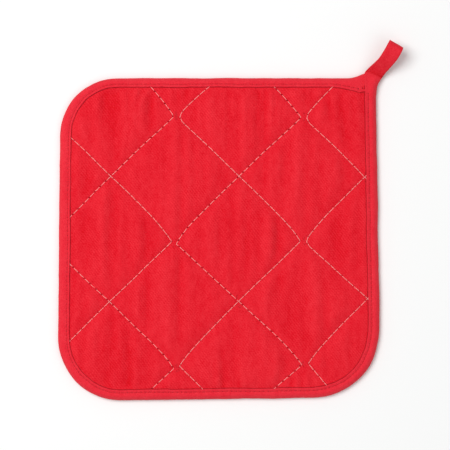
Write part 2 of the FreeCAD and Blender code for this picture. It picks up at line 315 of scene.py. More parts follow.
@dataclass(frozen=True, eq=False)
class Outline:
    """The pad's edge: from its square corner along the top, and once round to that corner again.

    Each side has its share of the true square's size, and what it loses of that for each metre upwards, or
    to the right. Each hollow in the right side has a depth as such a share, a level and a reach.
    """

    room: Room
    high_left: float = 35.7 * MM
    low_left: float = 39.3 * MM
    low_right: float = 42.5 * MM
    easing: float = 5 * MM
    right: tuple[float, float] = (1.003, 0.19)
    left: tuple[float, float] = (0.9995, 0.092)
    top: tuple[float, float] = (1.005, 0.0)
    bottom: tuple[float, float] = (1.006, 0.13)
    hollows: tuple[tuple[float, float, float], ...] = (
        (0.0045, -8 * MM, 22 * MM),
        (0.0085, -66 * MM, 14 * MM),
    )

    @property
    def radii(self) -> tuple[float, ...]:
        """Give the corners' radii in the order they are met."""
        return (self.high_left, self.low_left, self.low_right)

    @property
    def length(self) -> float:
        """Give the length once round."""
        sides = 4 * (self.room.half_width + self.room.half_length)
        return sides - (2 - math.pi / 2) * sum(self.radii)

    def nominal(self, travel: float) -> Vector:
        """Walk round the plain rounded square.

        Args:
            travel: The distance round it, in metres.

        Returns:
            The point there.
        """
        width, length = self.room.half_width, self.room.half_length
        spot, heading, before = Vector((width, length)), Vector((-1.0, 0.0)), 0.0
        for side, radius in zip((2 * width, 2 * length, 2 * width), self.radii):
            run = side - before - radius
            if travel <= run:
                return spot + heading * travel
            travel -= run
            spot = spot + heading * run
            left = Vector((-heading.y, heading.x))
            if travel <= radius * math.pi / 2:
                turn = travel / radius
                return spot + radius * (heading * math.sin(turn) + left * (1 - math.cos(turn)))
            travel -= radius * math.pi / 2
            spot, heading, before = spot + (heading + left) * radius, left, radius
        return spot + heading * travel

    def stretch(self, x: float, y: float) -> tuple[float, float]:
        """Compare the hand-sewn pad with the true square at a point.

        Args:
            x: The point's place across, in metres.
            y: The point's place along, in metres.

        Returns:
            The pad's shares of the true square's width and length there.
        """
        width, narrowing = self.right if x > 0 else self.left
        length, slope = self.top if y > 0 else self.bottom
        hollow = sum(depth * bell(y - level, reach) for depth, level, reach in self.hollows)
        return width - narrowing * y - (hollow if x > 0 else 0.0), length - slope * x

    @lru_cache(maxsize=None)
    def edge(self, travel: float) -> Vector:
        """Find the pad's true edge.

        Args:
            travel: The distance round it, in metres.

        Returns:
            The point there, at the height of the mid-plane.
        """
        steps = (-1.0, -0.5, 0.0, 0.5, 1.0)
        spots = [self.nominal(travel + step * self.easing) for step in steps]
        spot = sum(spots, Vector((0.0, 0.0))) / len(steps)
        across, along = self.stretch(spot.x, spot.y)
        return Vector((spot.x * across, spot.y * along, self.room.middle))

    def inward(self, travel: float) -> Vector:
        """Give the level direction into the pad from its edge."""
        ahead = self.edge(travel + MM) - self.edge(travel - MM)
        return UP.cross(ahead).normalized()

    def inset_of(self, x: float, y: float) -> float:
        """Measure how far inside the edge a point lies.

        Args:
            x: The point's place across, in metres.
            y: The point's place along, in metres.

        Returns:
            The distance in metres, which is below nothing outside the edge.
        """
        across, along = self.stretch(x, y)
        x, y = x / across, y / along
        radius = 0.0
        if x < 0:
            radius = self.high_left if y > 0 else self.low_left
        elif y < 0:
            radius = self.low_right
        over_x = abs(x) - self.room.half_width + radius
        over_y = abs(y) - self.room.half_length + radius
        return radius - min(max(over_x, over_y), 0.0) - math.hypot(max(over_x, 0.0), max(over_y, 0.0))


@dataclass(frozen=True)
class Seam:
    """A quilting seam that swings from side to side on its way down the pad, in millimetres.

    Its three turns may lag behind their even rows and fall short of their swings, and its arms may bow.
    """

    name: str
    line: Line
    swings: tuple[float, float, float, float, float]
    lags: tuple[float, float, float] = (0.0, 0.0, 0.0)
    bow: float = 0.0
    shorts: tuple[float, float, float] = (0.0, 0.0, 0.0)
    lift: float = 0.0  # where it crosses over another seam
    top: float = 153.8
    row: float = 78.0  # from one turn to the next
    pitch: float = 4.9  # of its stitches
    rounding: float = 2.0
    steepening: float = 0.06
    step: float = 0.25

    @cached_property
    def wander(self) -> Wander:
        """Give the wander of the hand that sewed it, with a seed of the seam's own."""
        return Wander(0.35, 16.0, self.swings[1])

    @cached_property
    def turns(self) -> list[float]:
        """List the levels of the seam's ends and turns, from the top down."""
        return [self.top - self.row * at - lag for at, lag in enumerate((0.0, *self.lags, 0.0))]

    def x_at(self, y: float) -> float:
        """Find where the seam crosses a level, on nearly straight arms that steepen just before each turn.

        Args:
            y: The level.

        Returns:
            The place across.
        """
        at = sum(y < turn for turn in self.turns[1:-1])
        share = held_between((self.turns[at] - y) / (self.turns[at] - self.turns[at + 1]), 0.0, 1.0)
        reach = (1 + self.steepening) * share - self.steepening * share**7.7
        start, end = self.swings[at], self.swings[at + 1]
        place = start + (end - start) * reach + self.bow * math.sin(math.pi * share) + self.wander.at(y)
        for short, turn, before, tip in zip(self.shorts, self.turns[1:], self.swings, self.swings[1:]):
            place += math.copysign(short, before - tip) * bell(y - turn, self.rounding)
        return place

    @cached_property
    def travels(self) -> list[float]:
        """List the seam's length down to each step of its way."""
        xs = [self.x_at(self.top - at * self.step) for at in range(int(4 * self.row / self.step) + 1)]
        return [0.0, *accumulate(math.hypot(b - a, self.step) for a, b in zip(xs, xs[1:]))]

    def travel_at(self, y: float) -> float:
        """Measure the seam's length down to a level.

        Args:
            y: The level.

        Returns:
            The length.
        """
        steps = held_between((self.top - y) / self.step, 0.0, len(self.travels) - 1)
        at = min(int(steps), len(self.travels) - 2)
        share = steps - at
        return self.travels[at] * (1 - share) + self.travels[at + 1] * share

    def level_at(self, travel: float) -> float:
        """Find the level at a length along the seam.

        Args:
            travel: The length.

        Returns:
            The level.
        """
        at = min(max(bisect_left(self.travels, travel), 1), len(self.travels) - 1)
        share = (travel - self.travels[at - 1]) / (self.travels[at] - self.travels[at - 1])
        return self.top - (at - 1 + share) * self.step


SEAMS = (
    Seam("left_first", Line.UNBROKEN, (-29, -107, -29.3, -107.9, -29), (-1.3, -0.3, 2), 0.2),
    Seam("left_second", Line.DASHED, (-96, -28, -105.6, -27.9, -104.5), (-0.5, 1.3, 1.1), -0.9, lift=0.3),
    Seam("middle_first", Line.UNBROKEN, (69, -25.4, 51.1, -24.2, 49), (0, -0.4, -0.5), shorts=(1.4, 0, 0)),
    Seam("middle_second", Line.DASHED, (-28.4, 51.6, -26.5, 52.5, -35), (0.2, 1.2, -1.1), -0.6, lift=0.3),
    Seam("right_first", Line.UNBROKEN, (131.5, 54, 125.5, 56.2, 115), (0.5, 0, -2), 1.6, (1.4, 0, 0)),
    Seam("right_second", Line.UNBROKEN, (52, 130, 54, 135.5, 52), shorts=(0, 1.1, 0), lift=0.3),
)


@dataclass(frozen=True)
class Gather:
    """A short fold that the tape's stitching draws into the cloth: a valley between two low ridges.

    It starts at a point, leans to one side over its run down the pad, and gets shallower on the way. All
    lengths are in millimetres, and a run below nothing goes up the pad.
    """

    x: float
    y: float
    lean: float
    run: float
    depth: float
    width: float = 1.5
    ridge: float = 0.4

    def lift(self, x: float, y: float) -> float:
        """Measure how far the fold lifts the cloth.

        Args:
            x: The place across.
            y: The place along.

        Returns:
            The lift there, which is below nothing in the valley.
        """
        share = held_between((self.y - y) / self.run, 0.0, 1.0)
        aside = abs(x - self.x - self.lean * share)
        valley, ridge = bell(aside, self.width), bell(aside - 2 * self.width, self.width)
        return self.depth * (1 - share) ** 0.7 * (self.ridge * ridge - valley)


GATHERS = (
    Gather(-46.8, 95.0, -7.0, 17.0, 1.3),
    Gather(-40.0, 95.0, -3.5, 20.0, 0.9),
    Gather(-19.5, 95.0, -1.5, 13.0, 0.7),
    Gather(15.8, 95.0, 0.5, 9.0, 0.8),
    Gather(24.4, 95.0, 2.5, 16.0, 1.2),
    Gather(29.5, 88.0, -0.5, 16.0, 0.8),
    Gather(68.0, 88.0, 1.0, 15.0, 0.8),
    Gather(-6.9, -94.0, -2.6, -11.0, 0.9),
    Gather(3.8, -94.0, -2.0, -26.0, 0.8),
    Gather(13.7, -94.0, -2.0, -12.0, 0.9),
    Gather(44.5, -94.0, 2.5, -11.0, 1.1),
    Gather(52.5, -94.0, -2.5, -14.0, 0.9),
)


class Graph:
    """Adds and links the nodes of one node tree."""

    def __init__(self, tree: bpy.types.NodeTree) -> None:
        """Start on the tree that the nodes go in."""
        self.tree = tree

    @classmethod
    def cleared(cls, owner: Material | bpy.types.World) -> Graph:
        """Start on the tree of a material or a world.

        Args:
            owner: The material or world, which loses the nodes that it came with.

        Returns:
            The graph.
        """
        owner.use_nodes = True
        owner.node_tree.nodes.clear()
        return cls(owner.node_tree)

    def add(self, kind: str, settings: dict[str, object] | None = None, **inputs: object) -> Node:
        """Add a node.

        Args:
            kind: The node's type, without its common start.
            settings: The node's own properties.
            inputs: A value or a link for each input, its name with _ for a space, or inN for input N.

        Returns:
            The new node.
        """
        node = self.tree.nodes.new(f"ShaderNode{kind}")
        for name, value in (settings or {}).items():
            setattr(node, name, value)
        for name, value in inputs.items():
            numbered = name[:2] == "in" and name[2:].isdigit()
            socket = node.inputs[int(name[2:]) if numbered else name.replace("_", " ")]
            if isinstance(value, Socket):
                self.link(value, socket)
            else:
                socket.default_value = value
        return node

    def link(self, value: Socket, socket: Socket) -> None:
        """Lead an output to an input."""
        self.tree.links.new(value, socket)

    def math(self, operation: str, *values: object) -> Socket:
        """Work out one value from others."""
        inputs = {f"in{at}": value for at, value in enumerate(values)}
        return self.add("Math", {"operation": operation}, **inputs).outputs[0]

    def times(self, value: object, factor: object, plus: object | None = None) -> Socket:
        """Multiply two values.

        Args:
            value: The first.
            factor: The second.
            plus: What is added to their product, if anything.

        Returns:
            The result.
        """
        if plus is None:
            return self.math("MULTIPLY", value, factor)
        return self.math("MULTIPLY_ADD", value, factor, plus)

    def remap(self, value: Socket, *ends: float) -> Socket:
        """Turn one range of a value smoothly into another, from two ends to two others."""
        inputs = {f"in{at}": end for at, end in enumerate(ends, 1)}
        return self.add("MapRange", {"interpolation_type": "SMOOTHSTEP"}, Value=value, **inputs).outputs[0]

    def place(self) -> Socket:
        """Give the place on the piece, in metres."""
        return self.add("TexCoord").outputs["Object"]

    def map(self, name: str) -> Socket:
        """Read a map that the mesh carries."""
        return self.add("UVMap", {"uv_map": name}).outputs[0]

    def measure(self, name: str) -> Socket:
        """Read a measure that the mesh's corners carry."""
        return self.add("Attribute", {"attribute_name": name}).outputs["Fac"]

    def turned(self, vector: Socket, degrees: float) -> Socket:
        """Turn a map about its upright axis."""
        return self.add("Mapping", Vector=vector, Rotation=(0.0, 0.0, math.radians(degrees))).outputs[0]

    def squeezed(self, vector: Socket, along: float) -> Socket:
        """Scale a map along its second axis, so that a pattern on it runs long."""
        return self.add("Mapping", Vector=vector, Scale=(1.0, along, 1.0)).outputs[0]

    def noise(self, vector: Socket, scale: object, detail: float = 2.0, distortion: float = 0.0) -> Socket:
        """Give cloudy noise."""
        node = self.add("TexNoise", Vector=vector, Scale=scale, Detail=detail, Distortion=distortion)
        return node.outputs["Fac"]

    def stripes(self, direction: str, **inputs: object) -> Socket:
        """Give soft stripes across a direction, with the node's inputs as for add."""
        return self.add("TexWave", {"bands_direction": direction}, **inputs).outputs["Fac"]

    def mix(self, factor: Socket, first: object, second: object, clamped: bool = True) -> Socket:
        """Mix two colours by the second one's share; where that isn't clamped, the mixed colour is."""
        settings = {"data_type": "RGBA", "clamp_factor": clamped, "clamp_result": not clamped}
        return self.add("Mix", settings, Factor=factor, in6=first, in7=second).outputs[2]

    def bump(self, strength: float, depth: float, height: Socket, under: Socket | None = None) -> Socket:
        """Raise a surface, or another bump, by a height whose 1 stands for a depth in millimetres."""
        base = {"Normal": under} if under else {}
        return self.add("Bump", Strength=strength, Distance=depth * MM, Height=height, **base).outputs[0]

    def group(self, tree: bpy.types.NodeTree, **inputs: object) -> Node:
        """Place a node group."""
        return self.add("Group", {"node_tree": tree}, **inputs)


class Effect(Graph):
    """A node group that several finishes share, with its inputs given and its outputs made."""

    def __init__(self, name: str, inputs: dict[str, object], outputs: tuple[str, ...]) -> None:
        """Start the group.

        Args:
            name: The group's name.
            inputs: The plain value of each input: a number, a colour, or nothing for a vector.
            outputs: The name of each output, which is a colour if it is called Colour and else a number.
        """
        super().__init__(bpy.data.node_groups.new(name, "ShaderNodeTree"))
        kinds = {float: "Float", tuple: "Color", type(None): "Vector"}
        for label, value in inputs.items():
            kind = f"NodeSocket{kinds[type(value)]}"
            socket = self.tree.interface.new_socket(label, in_out="INPUT", socket_type=kind)
            if value is not None:
                socket.default_value = value
        for label in outputs:
            kind = f"NodeSocket{'Color' if label == 'Colour' else 'Float'}"
            self.tree.interface.new_socket(label, in_out="OUTPUT", socket_type=kind)
        self.given = self.tree.nodes.new("NodeGroupInput").outputs
        self.made = self.tree.nodes.new("NodeGroupOutput").inputs


def colour(red: int, green: int, blue: int) -> Rgba:
    """Turn a screen colour into the linear colour that shaders use."""
    parts = [value / 255 for value in (red, green, blue)]
    return (*(p / 12.92 if p <= 0.04045 else ((p + 0.055) / 1.055) ** 2.4 for p in parts), 1.0)


def faded_and_lit(red: int, green: int, blue: int) -> Rgba:
    """Give the linear colour that a dye wears to, where its yarn shows pale, and that the painted light on
    crests moves towards.
    """
    return colour(min(red + 23, 255), min(green + 31, 255), min(blue + 27, 255))


class Effects:
    """The surface effects that several finishes share."""

    mean_rib = 0.49
    mean_tone = 1.105

    def __init__(self) -> None:
        """Build each effect once."""
        self.twill = self._twill()
        self.mottle = self._mottle()
        self.holes = self._holes()

    def _twill(self) -> bpy.types.NodeTree:
        """Build diagonal ribs across X, each made of short floats of yarn.

        Returns:
            The group, which gives the ribs' height and how pale each rib is.
        """
        g = Effect("Twill ribs", {"Vector": None, "Scale": 220.0}, ("Height", "Rib"))
        vector, scale = g.given["Vector"], g.given["Scale"]
        ribs = g.stripes("X", Vector=vector, Scale=scale, Distortion=1.6, Detail=2.0, Detail_Scale=0.7)
        finer = g.times(scale, 1.45)
        yarn = g.stripes("DIAGONAL", Vector=vector, Scale=finer, Distortion=0.8, Detail=1.0)
        slub = g.noise(g.squeezed(vector, 0.22), g.times(scale, 6.0))
        height = g.times(yarn, 0.3, plus=g.times(ribs, 0.7))
        g.link(g.times(slub, 0.5, plus=height), g.made["Height"])
        tone = g.times(slub, 0.35, plus=g.times(height, 0.65))
        patch = g.remap(g.noise(vector, g.times(scale, 0.2), 1.0), 0.35, 0.65, 0.5, 1.3)
        uneven = g.times(g.math("SUBTRACT", tone, self.mean_rib), patch, plus=self.mean_rib)
        g.link(uneven, g.made["Rib"])
        return g.tree

    def _mottle(self) -> bpy.types.NodeTree:
        """Build the uneven tone of dyed and worn cloth, and, where a finish gives it, painted light on the
        crests of the cloth's relief and painted shade in its hollows.

        Returns:
            The group, which gives the colour.
        """
        plain = {
            "Vector": None,
            "Colour": (1.0, 0.0, 0.0, 1.0),
            "Faded": (1.0, 0.1, 0.1, 1.0),
            "Rib": 0.5,
            "Depth": 0.1,
            "Wear": 0.0,
        }
        g = Effect("Dye mottle", plain, ("Colour",))
        vector = g.given["Vector"]
        broad, fine = g.noise(vector, 28.0, 3.0), g.noise(vector, 1400.0)
        tone = g.times(broad, 0.2, plus=g.times(fine, 1.1))
        tone = g.times(g.noise(g.squeezed(vector, 0.5), 300.0), 0.5, plus=tone)
        tone = g.times(g.given["Rib"], 0.42, plus=tone)
        off = g.math("SUBTRACT", tone, self.mean_tone)
        # painted light and shade from the cloth's relief, added to the random tone
        paler = g.times(off, g.given["Depth"], plus=g.given["Wear"])
        shade = g.mix(paler, g.given["Colour"], g.given["Faded"], clamped=False)
        g.link(shade, g.made["Colour"])
        return g.tree

    def _holes(self) -> bpy.types.NodeTree:
        """Build the needle's holes along a seam.

        Its map tells the stitches along the seam, and the centimetres to its side.

        Returns:
            The group, which gives the holes, as the mask for their painted shade, and the pinch of the cloth
            round each.
        """
        g = Effect("Needle holes", {"Seam": None, "Pitch": 4.9}, ("Hole", "Pinch"))
        parts = g.add("SeparateXYZ", Vector=g.given["Seam"]).outputs
        along = g.math("SUBTRACT", g.math("FRACT", g.math("ADD", parts[0], 0.5)), 0.5)
        along = g.times(along, g.given["Pitch"])
        aside = g.times(parts[1], 10.0)
        away = g.math("SQRT", g.math("ADD", g.times(along, along), g.times(aside, aside)))
        g.link(g.remap(away, 0.25, 0.6, 1.0, 0.0), g.made["Hole"])
        groove = g.remap(g.math("ABSOLUTE", aside), 0.1, 1.1, 0.35, 0.0)
        g.link(g.math("MAXIMUM", g.remap(away, 0.3, 2.0, 1.0, 0.0), groove), g.made["Pinch"])
        return g.tree


@dataclass(frozen=True)
class Finish:
    """A fabric or thread finish: its dye, how matt it is, and how strong its uneven tone is."""

    name: str
    dye: tuple[int, int, int]
    effects: Effects = field(repr=False)
    roughness: float = 0.85
    depth: float = 0.5
    sheen: float = 0.1
    specular: float = 0.15

    def material(self) -> Material:
        """Build the material.

        Returns:
            The new material.
        """
        made = bpy.data.materials.new(self.name)
        g = Graph.cleared(made)
        gloss = {"Roughness": self.roughness, "Specular_IOR_Level": self.specular}
        shader = g.add("BsdfPrincipled", Sheen_Weight=self.sheen, Sheen_Roughness=0.5, **gloss)
        g.add("OutputMaterial", Surface=shader.outputs[0])
        tint, normal = self.dress(g)
        g.link(tint, shader.inputs["Base Color"])
        g.link(normal, shader.inputs["Normal"])
        return made

    def dress(self, g: Graph) -> tuple[Socket, Socket]:
        """Give the surface's colour and normal."""
        raise NotImplementedError

    def dyed(self, g: Graph, rib: Socket, wear: object = 0.0, dye: object | None = None) -> Socket:
        """Dye the surface unevenly, with a tone for its ribs, painted light and shade for its relief and,
        where it varies, its own dye.
        """
        tones = {"Colour": dye or colour(*self.dye), "Faded": faded_and_lit(*self.dye), "Rib": rib, "Wear": wear}
        return g.group(self.effects.mottle, Vector=g.place(), Depth=self.depth, **tones).outputs[0]

    def ribbed(self, g: Graph, vector: Socket, pitch: float) -> bpy.types.NodeOutputs:
        """Weave ribs across a map at a pitch in millimetres, and give their height and tone."""
        return g.group(self.effects.twill, Vector=vector, Scale=math.pi / 10 / (pitch * MM)).outputs


@dataclass(frozen=True)
class TwillFinish(Finish):
    """Piece-dyed cotton twill, with its ribs on a slant and the needle's holes along the seams."""

    depth: float = 1.25
    slant: float = 128.0
    pitch: float = 1.43  # of its ribs, in millimetres
    wear: float = 0.16  # painted light on the crests of the ripples and painted shade in their valleys and the folds
    corner: float = 0.55  # how strong the painted shade is on the cloth right beside the tape
    # the colour of the painted shade in the needle's holes and beside the tape
    painted_shade: tuple[int, int, int] = (120, 8, 16)

    def dress(self, g: Graph) -> tuple[Socket, Socket]:
        """Lay the ribs, and paint shade into the needle's holes and into the corner beside the tape.

        Args:
            g: The material's graph.

        Returns:
            The colour and the normal.
        """
        ribs = self.ribbed(g, g.turned(g.place(), 90 - self.slant), self.pitch)
        # painted light on the ripples' crests and painted shade in their valleys and the folds
        dyed = self.dyed(g, ribs["Rib"], wear=g.times(g.measure("Pucker"), self.wear))
        holes = g.group(self.effects.holes, Seam=g.map("Seam")).outputs
        # painted shade in the needle's holes, as dark as each seam's line gives
        hole = g.times(holes["Hole"], g.measure("HoleShade"))
        # painted shade on the cloth right beside the tape's lip
        corner = g.times(g.remap(g.measure("Beside"), 0.25, 1.0, 1.0, 0.0), self.corner)
        dark = g.mix(g.math("MAXIMUM", hole, corner), dyed, colour(*self.painted_shade))
        weave = g.bump(0.3, 0.12, ribs["Height"])
        return dark, g.bump(0.6, 0.5, g.times(holes["Pinch"], -1.0), weave)


@dataclass(frozen=True)
class TapeFinish(Finish):
    """Bias-cut cotton tape, whose fine ribs cross it on a slant."""

    depth: float = 0.9
    slant: float = 45.0
    pitch: float = 0.8  # of its ribs, in millimetres
    # the colour that the painted shade in the crease and along the loop tends to
    loop_shade: tuple[int, int, int] = (200, 4, 24)
    # the colour of the painted shade in the needle's holes
    painted_shade: tuple[int, int, int] = (130, 6, 20)
    width: float = 26.0
    row: float = 0.143  # the stitches' share of the width, from each lip
    stitch: float = 2.8
    # how strong the painted shade in the needle's holes is
    hole: float = 0.65

    def dress(self, g: Graph) -> tuple[Socket, Socket]:
        """Lay the ribs, paint shade into the crease at the loop's root and along the loop, and paint shade
        into the needle's holes.

        Args:
            g: The material's graph.

        Returns:
            The colour and the normal.
        """
        flat = g.map("Flat")
        ribs = self.ribbed(g, g.turned(flat, self.slant), self.pitch)
        # painted shade in the crease at the loop's root and along the loop
        dye = g.mix(g.measure("LoopShade"), colour(*self.dye), colour(*self.loop_shade))
        dyed = self.dyed(g, ribs["Rib"], dye=dye)
        parts = g.add("SeparateXYZ", Vector=flat).outputs
        along = g.math("DIVIDE", parts[0], self.stitch * MM)
        aside = g.math("ABSOLUTE", g.math("SUBTRACT", parts[1], self.width * MM / 2))
        aside = g.math("DIVIDE", g.math("SUBTRACT", aside, self.width * MM * (0.5 - self.row)), 10 * MM)
        seam = g.add("CombineXYZ", X=along, Y=aside).outputs[0]
        holes = g.group(self.effects.holes, Seam=seam, Pitch=self.stitch).outputs
        sewn = g.measure("Sewn")
        # painted shade in the needle's holes
        dark = g.mix(g.times(g.times(holes["Hole"], sewn), self.hole), dyed, colour(*self.painted_shade))
        weave = g.bump(0.5, 0.1, ribs["Height"])
        pinch = g.times(g.times(holes["Pinch"], sewn), -1.0)
        return dark, g.bump(0.5, 0.4, pinch, weave)


@dataclass(frozen=True)
class ThreadFinish(Finish):
    """Two-ply sewing thread, with the twist of its plies."""

    roughness: float = 0.6
    depth: float = 0.6
    twist: float = 0.9

    def dress(self, g: Graph) -> tuple[Socket, Socket]:
        """Twist the plies.

        Args:
            g: The material's graph.

        Returns:
            The colour and the normal.
        """
        scale = math.pi / 10 / (self.twist * MM) * 0.8
        plies = g.stripes("DIAGONAL", Vector=g.map("Flat"), Scale=scale, Distortion=0.3)
        return self.dyed(g, plies), g.bump(0.8, 0.1, plies)


@dataclass(frozen=True)
class WaddingFinish(Finish):
    """Needled cotton wadding, with its tangle of fibres."""

    roughness: float = 0.95

    def dress(self, g: Graph) -> tuple[Socket, Socket]:
        """Tangle the fibres, and give the colour and the normal."""
        fibres = g.noise(g.place(), 1400.0, 6.0, 1.5)
        return self.dyed(g, fibres), g.bump(0.7, 0.3, fibres)


@dataclass
class QuiltedLayers:
    """The two covers and the two layers of wadding between them, sewn through along the seams.

    Lengths are in millimetres, and heights are over the mid-plane. A pull is how strongly the tape gathers
    the cloth at the pad's top or bottom, and how far inside that it fades.
    """

    room: Room
    outline: Outline
    tape: EdgeTape
    twill: Material
    wadding: Material
    cells: int = 112  # across and along
    cell: float = 78.0 / 43  # so that the seams' turns lie on rows of corners
    row: float = -2.2  # the level of one row of turns
    slant: float = 0.72  # the share of a distance across that lies square to a seam
    crease: float = 0.6
    ply: float = 0.6
    floor: float = 1.35  # the height of the valleys
    margin: float = 1.5  # the height beside the tape
    crown: float = 2.85  # the height of the highest puffs
    roundness: float = 0.9  # how far under the crown they start to flatten
    unblown: float = 0.35  # how far under the crown they are before the cloth is blown up
    rise: float = 8.0
    hem: float = 1.0  # how far inside the pad's edge a cover is cut
    pinch: float = 0.5
    taped: float = 6.6  # how far inside the pad's edge the tape reaches
    thinnest: float = 0.75
    broad: tuple[Wander, Wander] = (Wander(0.98, 7.0, 5.37, 60.0), Wander(0.45, 4.2, 9.4, 50.0))
    narrow: Wander = Wander(0.8, 2.8, 3.1, 24.0)
    top_pull: tuple[float, float] = (0.8, 40.0)
    bottom_pull: tuple[float, float] = (0.9, 14.0)
    shade: float = 1.7  # how much more a fold shows in the painted shade than its lift does
    slack: float = 0.012
    frames: int = 20
    scale: float = 10.0  # the simulation's, in which thin cloth behaves well
    reach: float = 1.0  # how far the simulation may move a corner
    clearance: float = 0.05  # between a cover and the wadding
    parting: float = 0.03  # between the mid-plane and the wadding

    def level(self, row: int) -> float:
        """Give the level of a row of the cover's corners."""
        return self.row + (row - self.cells // 2 + 1) * self.cell

    def inset(self, x: float, y: float) -> float:
        """Give how far inside the pad's edge a point lies."""
        return self.outline.inset_of(x * MM, y * MM) / MM

    def nearest_seam(self, x: float, y: float) -> tuple[Seam, float]:
        """Find the seam nearest to a point, and how far to its right the point lies."""
        offsets = ((seam, (x - seam.x_at(y)) * self.slant) for seam in SEAMS)
        return min(offsets, key=lambda pair: abs(pair[1]))

    def lay_out(self) -> Mesh:
        """Cut one flat cover, with a row of corners along every seam.

        Returns:
            The new mesh, whose corners on a seam are marked as held.
        """
        bm = bmesh.new()
        bmesh.ops.create_grid(bm, x_segments=self.cells, y_segments=self.cells, size=self.cells / 2)
        held = bm.verts.layers.int.new("held")
        half = self.cells // 2
        grid = {(round(vert.co.x) + half, round(vert.co.y) + half): vert for vert in bm.verts}
        for (_, row), vert in grid.items():
            vert.co = (vert.co.x * self.cell, self.level(row), 0.0)
        for row in range(self.cells + 1):
            for seam in SEAMS:
                crossing = seam.x_at(self.level(row))
                vert = grid.get((round(crossing / self.cell) + half, row))
                if vert is not None:
                    vert.co.x = (vert.co.x + crossing) / 2 if vert[held] else crossing
                    vert[held] = 1
        for vert in bm.verts:
            vert.co *= MM
        outside = [v for v in bm.verts if self.outline.inset_of(v.co.x, v.co.y) < self.hem * MM]
        bmesh.ops.delete(bm, geom=outside, context="VERTS")
        self.trim(bm)
        for face in list(bm.faces):
            if len(face.verts) == 4:
                for a, b in ((0, 2), (1, 3)):
                    if face.verts[a][held] and face.verts[b][held]:
                        bmesh.utils.face_split(face, face.verts[a], face.verts[b])
                        break
        crease = bm.edges.layers.float.new("crease_edge")
        for edge in bm.edges:
            if edge.verts[0][held] and edge.verts[1][held]:
                edge[crease] = self.crease
        return bm

    def trim(self, bm: Mesh) -> None:
        """Bring the cut edge of a cover onto a smooth line inside the pad's edge.

        Args:
            bm: The cover's flat mesh.
        """
        nudge, inset_of = 0.1 * MM, self.outline.inset_of
        for _ in range(2):
            for vert in bm.verts:
                if vert.is_boundary:
                    x, y = vert.co.x, vert.co.y
                    depth = inset_of(x, y)
                    slope = Vector((inset_of(x + nudge, y) - depth, inset_of(x, y + nudge) - depth, 0.0))
                    vert.co += slope.normalized() * (self.hem * MM - depth)

    def ripple(self, x: float, y: float) -> tuple[float, float]:
        """Ruffle the cloth, with upright puckers everywhere and folds where the tape gathers it.

        Args:
            x: The place across.
            y: The place along.

        Returns:
            The lift of the puckers and the lift of the folds.
        """
        inside, away = self.inset(x, y) - self.taped, abs(self.nearest_seam(x, y)[1])
        half = self.room.half_length / MM - self.taped
        pull = self.top_pull[0] * math.exp((y - half) / self.top_pull[1])
        pull += self.bottom_pull[0] * math.exp(-(y + half) / self.bottom_pull[1])
        wide = sum(each.at(x, y) for each in self.broad) * (1.05 + 0.12 * pull)
        waves = (wide + self.narrow.at(x, y) * pull) * ease(away, 0.0, self.rise) * ease(inside, 0.0, 3.5)
        folds = sum(fold.lift(x, y) for fold in GATHERS) * ease(away, 0.0, 2.5) * ease(inside, -0.5, 1.5)
        return waves, folds

    def puff(self, x: float, y: float) -> float:
        """Shape a cover before the cloth is blown up.

        Args:
            x: The place across.
            y: The place along.

        Returns:
            The cover's height there.
        """
        inside, away = self.inset(x, y) - self.taped, abs(self.nearest_seam(x, y)[1])
        share = ease(away, 0.0, self.rise) * ease(inside, 0.0, self.rise * 0.7)
        low = self.margin + (self.floor - self.margin) * ease(inside, 0.0, 4.0)
        low -= self.pinch * (1 - ease(inside + self.taped, 1.0, 4.0))
        return low + (self.crown - self.unblown - low) * share

    def simulate(self, bm: Mesh) -> None:
        """Blow the cover up against its seams as slack cloth, and keep the result.

        Args:
            bm: The cover's mesh, which is changed.
        """
        held = bm.verts.layers.int["held"]
        mesh = bpy.data.meshes.new("cloth")
        bm.verts.index_update()
        bm.to_mesh(mesh)
        mesh.vertices.foreach_set("co", [value * self.scale for vert in bm.verts for value in vert.co])
        cloth = placed("cloth", mesh)
        pins, taped = cloth.vertex_groups.new(name="pins"), self.taped * MM
        fixed = [v.index for v in bm.verts if v[held] or self.outline.inset_of(v.co.x, v.co.y) < taped]
        pins.add(fixed, 1.0, "REPLACE")
        cloth.shape_key_add(name="sewn")
        slack = cloth.shape_key_add(name="slack")
        for point in slack.data:
            point.co.x *= 1 + self.slack
            point.co.y *= 1 + self.slack * 0.25
        modifier = cloth.modifiers.new("cloth", "CLOTH")
        settings = modifier.settings
        settings.quality = 6
        settings.mass = 0.02
        settings.tension_stiffness = settings.compression_stiffness = 12.0
        settings.shear_stiffness = 3.0
        settings.bending_stiffness = 0.05
        settings.tension_damping = settings.compression_damping = settings.shear_damping = 4.0
        settings.use_pressure = True
        settings.uniform_pressure_force = 3.0
        settings.vertex_group_mass = "pins"
        settings.rest_shape_key = slack
        settings.effector_weights.gravity = 0.0
        modifier.collision_settings.use_collision = False
        modifier.point_cache.frame_start = 1
        modifier.point_cache.frame_end = self.frames
        for frame in range(1, self.frames + 1):
            bpy.context.scene.frame_set(frame)
        shaped = cloth.evaluated_get(bpy.context.evaluated_depsgraph_get()).data
        low, high = -self.reach * MM, self.reach * MM
        for vert, point in zip(bm.verts, shaped.vertices):
            moved = point.co / self.scale - vert.co
            level = (held_between(moved.x, low, high), held_between(moved.y, low, high))
            vert.co += Vector((*level, held_between(moved.z, low, high * 1.5)))
        bpy.data.objects.remove(cloth)
        bpy.data.meshes.remove(mesh)
        bpy.context.scene.frame_set(1)

    def settle(self, bm: Mesh) -> None:
        """Flatten the highest puffs, as a pad that lies under others is.

        Args:
            bm: The cover's mesh, which is changed.
        """
        knee = self.crown - self.roundness
        for vert in bm.verts:
            height = vert.co.z / MM
            if height > knee:
                vert.co.z = (knee + self.roundness * math.tanh((height - knee) / self.roundness)) * MM

